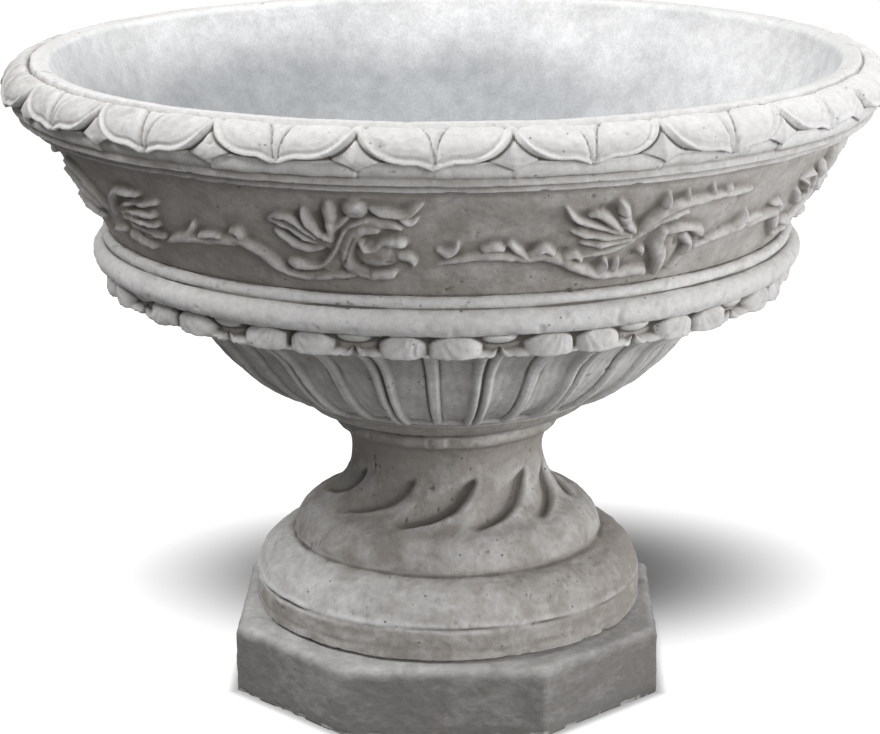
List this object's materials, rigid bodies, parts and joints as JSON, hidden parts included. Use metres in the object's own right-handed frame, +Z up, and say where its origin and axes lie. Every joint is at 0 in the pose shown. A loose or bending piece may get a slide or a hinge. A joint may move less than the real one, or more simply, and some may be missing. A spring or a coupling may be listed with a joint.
{
  "type": "urn planter",
  "caption": "Low cast-stone garden urn: flaring bowl with leaf rim, scroll frieze and curled petals on a turned foot and octagonal plinth.",
  "frame": {"origin": "on the ground at the urn's axis, under the plinth", "axes": "+Z up along the urn's axis; -Y is the front wide face of the plinth"},
  "size_m": [0.8, 0.7998, 0.5881],
  "materials": {
    "stone": "matte cast stone",
    "reinforcing_steel": "plain bar",
    "mortar": "rough mortar",
    "stainless_pin": "ground pin",
    "rubber_pad": "matte",
    "drain_plastic": "matte pipe"
  },
  "bodies": {
    "foot_body": {"plinth": "stone", "plinth_hoop": "reinforcing_steel", "plinth_mortar": "mortar", "foot_dowels": "stainless_pin", "foot": "stone", "foot_bars": "reinforcing_steel", "drum_hoop": "reinforcing_steel", "neck_hoop": "reinforcing_steel", "neck_dowels": "stainless_pin", "seat_pad": "rubber_pad"},
    "bowl_body": {"bowl": "stone", "drain_sleeve": "drain_plastic", "bowl_bars": "reinforcing_steel", "rim_hoop": "reinforcing_steel", "shoulder_hoop": "reinforcing_steel"}
  },
  "joints": [
    {"name": "bowl_lift", "type": "slide", "parent": "foot_body", "child": "bowl_body", "axis": [0, 0, 1], "range_m": [0, 0.12]}
  ]
}
